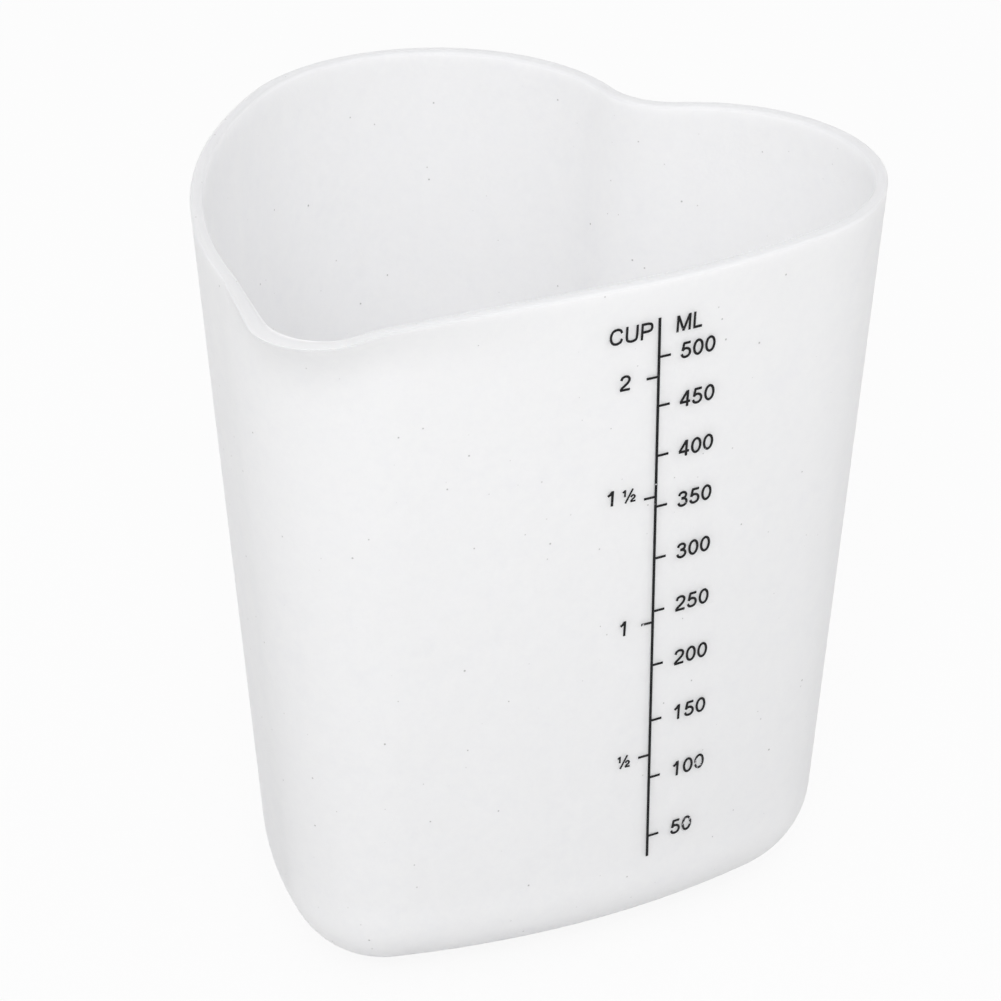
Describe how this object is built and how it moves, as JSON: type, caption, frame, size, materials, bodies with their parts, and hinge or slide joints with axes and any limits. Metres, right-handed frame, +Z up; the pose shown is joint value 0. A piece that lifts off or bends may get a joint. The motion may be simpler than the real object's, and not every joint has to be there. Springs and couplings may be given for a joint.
{
  "type": "resin mixing cup",
  "caption": "A soft one-piece silicone mixing cup with a heart-shaped plan, a pouring lip at the tip of the heart and a printed scale in millilitres and cups.",
  "frame": {"origin": "centre of the base", "axes": "+Z up, the pouring lip towards -Y, the cleft towards +Y"},
  "size_m": [0.1004, 0.1088, 0.115],
  "materials": {
    "silicone": "matte",
    "ink": "matte"
  },
  "bodies": {
    "root": {"cup_body": "silicone", "scale_line": "ink", "millilitre_marks": "ink", "cup_marks": "ink", "cup_heading": "ink", "millilitre_heading": "ink", "number_50_ml": "ink", "number_100_ml": "ink", "number_150_ml": "ink", "number_200_ml": "ink", "number_250_ml": "ink", "number_300_ml": "ink", "number_350_ml": "ink", "number_400_ml": "ink", "number_450_ml": "ink", "number_500_ml": "ink", "number_half_cup": "ink", "number_one_cup": "ink", "number_one_and_half_cups": "ink", "number_two_cups": "ink"}
  },
  "joints": []
}
